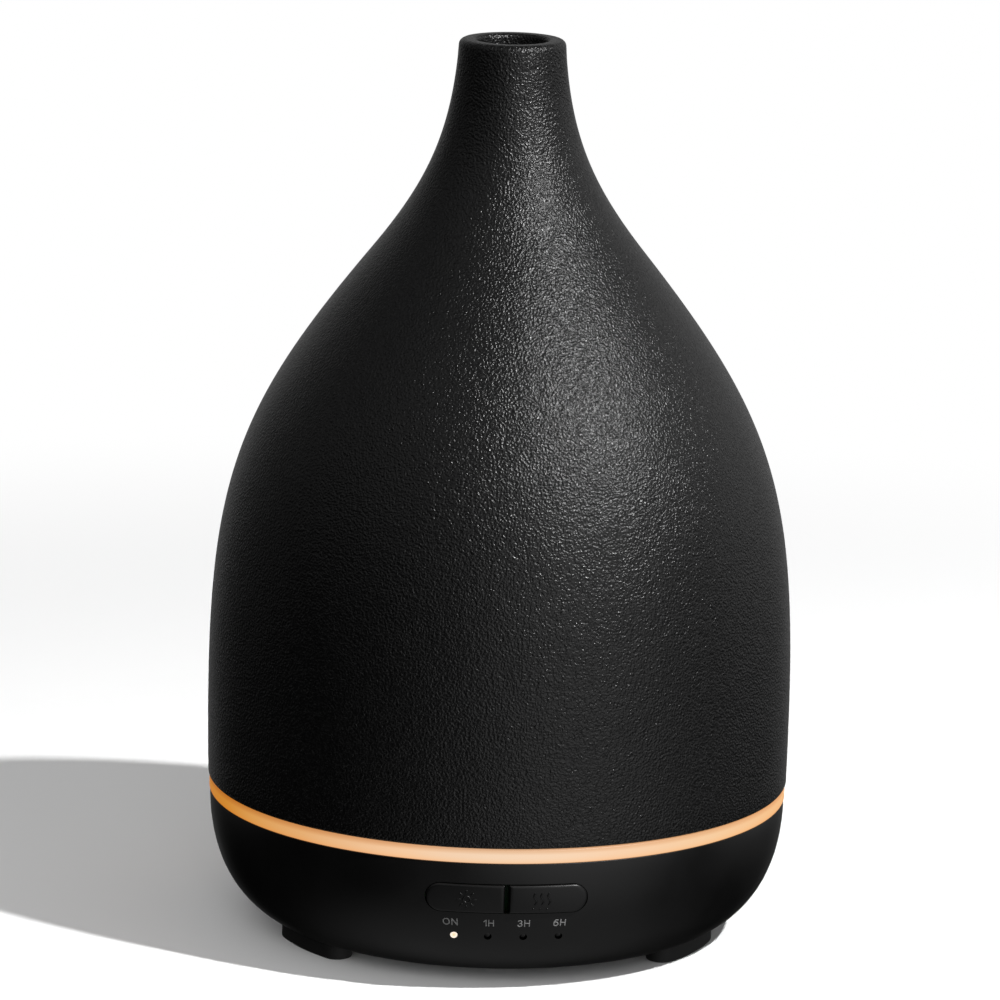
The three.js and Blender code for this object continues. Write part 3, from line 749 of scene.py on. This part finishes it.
# ---- Power inlet and screws ----
def make_jack():
    """The inlet's square body with its round nose and bore, and the pin inside."""
    half, nose_r, reach = JACK["half"], JACK["nose"], JACK["reach"]
    square = rounded([(-half, -half, 0.5), (half, -half, 0.5), (half, half, 0.5), (-half, half, 0.5)])
    block = prism("jack_block", square, JACK["front"], JACK["back"], "y", (0, JACK_Z))
    nose = lathe("jack_nose", rounded([(0, 0), (nose_r, 0), (nose_r, reach, 0.35), (0, reach)]), 64)
    lay(nose, 0, JACK["back"] - 0.1, JACK_Z)
    boolean(block, [nose], "UNION")
    boolean(block, [prism("jack_bore", circle(JACK["bore"]), 45, 60, "y", (0, JACK_Z))])
    finish(block, DARK, "base", "plastic_dark", "dc_jack")
    r, length = PIN["radius"], PIN["length"]
    pin = lathe("jack_pin", rounded([(0, 0), (r, 0), (r, length, 0.6), (0, length)]), 32)
    lay(pin, 0, PIN["foot"], JACK_Z)
    finish(pin, STEEL, "base", "steel")


def make_screws():
    """Pan heads with a crossed recess; the base screws face down and the board screws up."""
    for name in ("base_screw_1", "base_screw_2", "base_screw_3", "board_screw_1", "board_screw_2"):
        low, high = span(name)
        x, y, head = (low.x + high.x) / 2, (low.y + high.y) / 2, (high.x - low.x) / 2
        face, up = (low.z, 1) if name.startswith("base") else (high.z, -1)
        length, shank = high.z - low.z, head * SHANK
        outline = rounded([(0, 0), (head, 0, 0.55), (head, HEAD_DEPTH, 0.1), (shank, HEAD_DEPTH),
                           (shank, length, 0.2), (0, length)])
        screw = lathe(f"{name}_turned", [(r, face + up * h) for r, h in outline], 48, x, y)
        for u, v in ((CROSS["long"], CROSS["short"]), (CROSS["short"], CROSS["long"])):
            bar = [(-u, -v), (u, -v), (u, v), (-u, v)]
            boolean(screw, [prism("recess", bar, face - CROSS["deep"], face + CROSS["deep"], at=(x, y))])
        finish(screw, STEEL, "base", "steel", name)


# ---- Buttons with raised icons ----
# Columns of vertices close to a button's ends, where its edge is rounded, and the number across it.
NEAR_END, COLUMNS, ROWS = (0, 0.04, 0.1, 0.18, 0.28, 0.4), 30, 48


def make_button(name, side):
    """Half of the slot's outline, following the bowl, with a rounded edge all round its face."""
    low, high, edge = BUTTON["low"], BUTTON["high"], BUTTON["edge"]
    r, middle = (high - low) / 2, (high + low) / 2
    start, knee = BUTTON["gap"] / 2, BUTTON["half"] - r
    vertices = []
    for theta in [math.pi * k / ROWS for k in range(ROWS + 1)]:
        z, stop = middle - r * math.cos(theta), knee + r * math.sin(theta)
        inside = np.linspace(start + NEAR_END[-1], stop - NEAR_END[-1], COLUMNS)[1:-1]
        for x in [*(start + d for d in NEAR_END), *inside, *(stop - d for d in reversed(NEAR_END))]:
            to_round = r - (math.hypot(x - knee, z - middle) if x > knee else abs(z - middle))
            depth = max(0.0, edge - min(to_round, x - start))
            drop = edge - math.sqrt(max(0.0, edge**2 - depth**2))
            vertices.append(on_bowl(side * x, z, BUTTON["proud"] - drop))
    across = len(vertices) // (ROWS + 1)
    grid = [[i * across + k for k in range(across)] for i in range(ROWS + 1)]
    faces = [(grid[i][k], grid[i][k + 1], grid[i + 1][k + 1], grid[i + 1][k])
             for i in range(ROWS) for k in range(across - 1)]
    rim = grid[0] + [row[-1] for row in grid[1:-1]] + grid[-1][::-1] + [row[0] for row in grid[-2:0:-1]]
    base = len(vertices)
    vertices += [tuple(Vector(vertices[i]) + Vector((0, BUTTON["thick"], 0))) for i in rim]
    count = len(rim)
    faces += [(rim[k], rim[(k + 1) % count], base + (k + 1) % count, base + k) for k in range(count)]
    faces.append(tuple(base + k for k in range(count)))
    cap = new_piece(f"{name}_cap", vertices, faces, 50)
    finish(cap, CAP, name, "button_black", name)


ICON = {"line": 0.18, "top": BUTTON["proud"] - 0.02, "middle": 21.05, "sun": -8.05, "mist": 6.95}
SUN_R, RAY = 0.68, (1.35, 1.6, 1.85)
PLUME = {"spacing": 1.4, "sway": 0.28, "shift": 0.15, "foot": -0.9, "height": 2.4}
DOT = {"shift": -0.2, "foot": -1.9, "height": 0.06}


def make_icons():
    """A small sun on the light button, and three plumes of steam over three dots on the mist button."""
    def at(x, z):
        return on_bowl(x, ICON["middle"] + z, ICON["top"])

    ring = [at(ICON["sun"] + SUN_R * math.cos(t), SUN_R * math.sin(t))
            for t in np.linspace(0, 2 * math.pi * 0.99, 22)]
    rays = [[at(ICON["sun"] + d * math.cos(t), d * math.sin(t)) for d in RAY]
            for t in [math.radians(45 * k) for k in range(8)]]
    finish(tube("light_icon", [ring, *rays], ICON["line"]), CAP, "light_button", "button_black")
    columns = [ICON["mist"] + PLUME["spacing"] * k for k in (-1, 0, 1)]
    plumes = [[at(x + PLUME["shift"] + PLUME["sway"] * math.sin(h * 2 * math.pi),
                  PLUME["foot"] + h * PLUME["height"]) for h in np.linspace(0, 1, 18)] for x in columns]
    dots = [[at(x + DOT["shift"], DOT["foot"] + h) for h in (0, DOT["height"])] for x in columns]
    finish(tube("mist_icon", [*plumes, *dots], ICON["line"]), CAP, "mist_button", "button_black")


# ---- Lamps and labels ----
def arc(x, y, across, up, start, stop):
    """Part of an ellipse as points, between two angles in degrees."""
    return [(x + across * math.cos(t), y + up * math.sin(t))
            for t in np.radians(np.linspace(start, stop, 22))]


# Plain capitals and digits one unit high: width, and the lines they are drawn with.
GLYPHS = {
    "O": (0.95, [arc(0.475, 0.5, 0.475, 0.5, 0, 354)]),
    "N": (0.8, [[(0, 0), (0, 1)], [(0, 1), (0.8, 0)], [(0.8, 0), (0.8, 1)]]),
    "H": (0.72, [[(0, 0), (0, 1)], [(0, 0.52), (0.72, 0.52)], [(0.72, 0), (0.72, 1)]]),
    "1": (0.34, [[(0, 0.72), (0.32, 1)], [(0.34, 1), (0.34, 0)]]),
    "3": (0.6, [arc(0.28, 0.76, 0.27, 0.24, 160, -90), arc(0.28, 0.26, 0.31, 0.26, 90, -165)]),
    "6": (0.64, [arc(0.32, 0.31, 0.31, 0.31, 0, 354), arc(0.42, 0.42, 0.41, 0.58, 185, 62)]),
}
LETTER_GAP = 0.4
STROKE = {"radius": 0.24, "proud": -0.2}  # a tube sunk so that only a thin strip of it shows


def make_lamp(key, x):
    """A light guide behind its hole in the bowl: the lit one nearly flush, the others sunk."""
    face = -math.sqrt(np.interp(LAMP_Z, bowl_z, bowl_r) ** 2 - x * x)
    if key == "on":
        look, slot, depth = LAMP_ON, "lamp_glow", LIT_DEPTH
    else:
        look, slot, depth = LAMP_OFF, "lamp_clear", UNLIT_DEPTH
    r, length = LAMP_R - LAMP_MARGIN, LAMP_LENGTH
    guide = lathe(f"guide_{key}", rounded([(0, 0), (r, 0, 0.25), (r, length, 0.1), (0, length)]), 32)
    lay(guide, x, face + depth, LAMP_Z)
    finish(guide, look, "base", slot, f"light_guide_{key}")


def make_label(key, text, centre):
    """Letters drawn round the bowl, centred at a distance from its front."""
    glyphs = [GLYPHS[letter] for letter in text]
    along = centre - LABEL_HEIGHT * (sum(width for width, _ in glyphs) + LETTER_GAP) / 2
    strokes = []
    for width, lines in glyphs:
        strokes += [[on_bowl(along + u * LABEL_HEIGHT, LABEL_Z + (v - 0.5) * LABEL_HEIGHT, STROKE["proud"])
                     for u, v in line] for line in lines]
        along += LABEL_HEIGHT * (width + LETTER_GAP)
    finish(tube(f"label_{key}", strokes, STROKE["radius"]), PRINT, "base", "plastic_black")


make_cover()
make_lid()
make_ring()
make_tank()
make_bowl()
make_feet()
make_grille()
make_jack()
make_screws()
make_button("light_button", -1)
make_button("mist_button", 1)
make_icons()
for (key, (text, centre)), x in zip(LABELS.items(), LAMP_X):
    make_lamp(key, x)
    make_label(key, text, centre)

# ---- Looks of the CAD nodes that stay ----
LOOKS = {
    "steel": STEEL, "brass": BRASS, "board_green": BOARD, "plastic_dark": DARK, "plastic_white": MILKY,
    "rubber_black": RUBBER, "wire_red": WIRE, "plastic_black": BOWL, "button_black": CAP,
}
slots = {row["node"]: row["material_slot"] for row in frame["record"]["subparts"]}
for name, node in frame["nodes"].items():
    if not node.hide_render and slots[name] in LOOKS:
        node.data.materials.clear()
        node.data.materials.append(LOOKS[slots[name]])


# ---- Floor, light and camera ----
# From here on in metres. Lights: azimuth, elevation, distance and size. The floor has lights of its own.
KEY = {"azimuth": 50.2, "elevation": 49.6, "distance": 1.1, "size": 0.035}
FLOOR_FILL = {"azimuth": 0, "elevation": 90, "distance": 1.0, "size": 3.6}
FLOOR_FRONT = {"azimuth": -20, "elevation": 22, "distance": 1.3, "size": 1.4}
KEY_POWER, FLOOR_POWER, FILL_POWER, FRONT_POWER = 10.0, 5.2, 9.2, 10.0
AIM_Z = 0.06
FLOOR_HALF, FLOOR_ALBEDO, FLOOR_FADE = 3, 0.86, (0.24, 0.5)
PANEL_CORE = 0.45  # share of a panel's half width within which it is fully bright
# Soft panels far around the object: azimuth (0 is -Y, 90 is +X), elevation and half width in degrees;
# brightness.
PANELS = {
    "front_right": (32, 4, 46, 0.72),
    "right": (120, 12, 34, 0.46),
    "left": (-125, 12, 34, 0.11),
    "top_left": (-55, 48, 44, 0.24),
    "behind": (178, 8, 42, 0.34),
    "under": (5, -74, 54, 0.26),
}
VIEW = {"azimuth": -2.4, "yaw": -2.373, "distance": 1.2909, "height": 0.3739, "pitch": 12.421, "roll": 1.21,
        "lens": 231.0}


def direction(azimuth, elevation):
    """Unit vector from the origin; azimuth 0 is towards -Y and 90 towards +X."""
    a, e = math.radians(azimuth), math.radians(elevation)
    return Vector((math.sin(a) * math.cos(e), -math.cos(a) * math.cos(e), math.sin(e)))


def make_floor():
    """A white floor that takes the shadow and fades into plain white further out, and lights nothing."""
    mesh = bpy.data.meshes.new("floor")
    far = FLOOR_HALF
    mesh.from_pydata([(-far, -far, 0), (far, -far, 0), (far, far, 0), (-far, far, 0)], [], [(0, 1, 2, 3)])
    floor = bpy.data.objects.new("floor", mesh)
    scene.collection.objects.link(floor)
    made, nodes, links, shader = material("floor_white")
    shader.inputs["Base Color"].default_value = (FLOOR_ALBEDO, FLOOR_ALBEDO, FLOOR_ALBEDO, 1)
    shader.inputs["Roughness"].default_value = 0.9
    shader.inputs["Specular IOR Level"].default_value = 0.0
    glow = nodes.new("ShaderNodeEmission")
    where = nodes.new("ShaderNodeTexCoord")
    reach = nodes.new("ShaderNodeVectorMath")
    reach.operation = "LENGTH"
    fade = nodes.new("ShaderNodeMapRange")
    fade.interpolation_type = "SMOOTHSTEP"
    fade.inputs["From Min"].default_value, fade.inputs["From Max"].default_value = FLOOR_FADE
    blend = nodes.new("ShaderNodeMixShader")
    links.new(where.outputs["Object"], reach.inputs[0])
    links.new(reach.outputs["Value"], fade.inputs["Value"])
    links.new(fade.outputs["Result"], blend.inputs["Fac"])
    links.new(shader.outputs["BSDF"], blend.inputs[1])
    links.new(glow.outputs["Emission"], blend.inputs[2])
    links.new(blend.outputs["Shader"], nodes["Material Output"].inputs["Surface"])
    mesh.materials.append(made)
    floor.visible_diffuse = floor.visible_glossy = floor.visible_shadow = False
    return floor


def make_world():
    """White behind everything the camera sees; soft panels in a dark room for all other light."""
    world = bpy.data.worlds.new("studio")
    scene.world = world
    world.use_nodes = True
    nodes, links = world.node_tree.nodes, world.node_tree.links
    room = nodes["Background"]
    where = nodes.new("ShaderNodeTexCoord")
    total = None
    for name, (azimuth, elevation, half, brightness) in PANELS.items():
        facing = nodes.new("ShaderNodeVectorMath")
        facing.operation = "DOT_PRODUCT"
        facing.inputs[1].default_value = direction(azimuth, elevation)
        links.new(where.outputs["Generated"], facing.inputs[0])
        panel = nodes.new("ShaderNodeMapRange")
        panel.name, panel.interpolation_type = name, "SMOOTHSTEP"
        panel.inputs["From Min"].default_value = math.cos(math.radians(half))
        panel.inputs["From Max"].default_value = math.cos(math.radians(half * PANEL_CORE))
        panel.inputs["To Max"].default_value = brightness
        links.new(facing.outputs["Value"], panel.inputs["Value"])
        if total:
            more = nodes.new("ShaderNodeMath")
            links.new(total, more.inputs[0])
            links.new(panel.outputs["Result"], more.inputs[1])
            total = more.outputs["Value"]
        else:
            total = panel.outputs["Result"]
    links.new(total, room.inputs["Strength"])
    room.inputs["Color"].default_value = (1, 1, 1, 1)
    white = nodes.new("ShaderNodeBackground")
    white.inputs["Color"].default_value = (1, 1, 1, 1)
    path = nodes.new("ShaderNodeLightPath")
    blend = nodes.new("ShaderNodeMixShader")
    links.new(path.outputs["Is Camera Ray"], blend.inputs["Fac"])
    links.new(room.outputs["Background"], blend.inputs[1])
    links.new(white.outputs["Background"], blend.inputs[2])
    links.new(blend.outputs["Shader"], nodes["World Output"].inputs["Surface"])


def make_light(name, azimuth, elevation, distance, size, power, only=None):
    """A round soft light aimed at the object, which lights everything, or one object only."""
    lamp = bpy.data.lights.new(name, "AREA")
    lamp.shape, lamp.size, lamp.energy = "DISK", size, power
    holder = bpy.data.objects.new(name, lamp)
    holder.location = direction(azimuth, elevation) * distance
    holder.rotation_mode = "QUATERNION"
    holder.rotation_quaternion = (holder.location - Vector((0, 0, AIM_Z))).to_track_quat("Z", "Y")
    scene.collection.objects.link(holder)
    if only:
        lit = bpy.data.collections.new(f"lit_by_{name}")
        lit.objects.link(only)
        holder.light_linking.receiver_collection = lit


def make_camera():
    """The photograph's viewpoint, slightly above the object and tilted down."""
    camera = bpy.data.objects.new("camera", bpy.data.cameras.new("camera"))
    scene.collection.objects.link(camera)
    away = direction(VIEW["azimuth"], 0)
    camera.location = away * VIEW["distance"] + Vector((0, 0, VIEW["height"]))
    camera.rotation_mode = "QUATERNION"
    camera.rotation_quaternion = (Quaternion((0, 0, 1), math.radians(VIEW["yaw"]))
                                  @ Quaternion((1, 0, 0), math.radians(90 - VIEW["pitch"]))
                                  @ Quaternion((0, 0, 1), math.radians(VIEW["roll"])))
    camera.data.sensor_width = 36
    camera.data.lens = VIEW["lens"]
    camera.data.clip_start, camera.data.clip_end = 0.05, 20
    scene.camera = camera


floor = make_floor()
make_world()
make_light("key", *KEY.values(), KEY_POWER)
make_light("key_on_floor", *KEY.values(), FLOOR_POWER, floor)
make_light("fill_on_floor", *FLOOR_FILL.values(), FILL_POWER, floor)
make_light("front_on_floor", *FLOOR_FRONT.values(), FRONT_POWER, floor)
make_camera()
scene.view_settings.view_transform = "Standard"
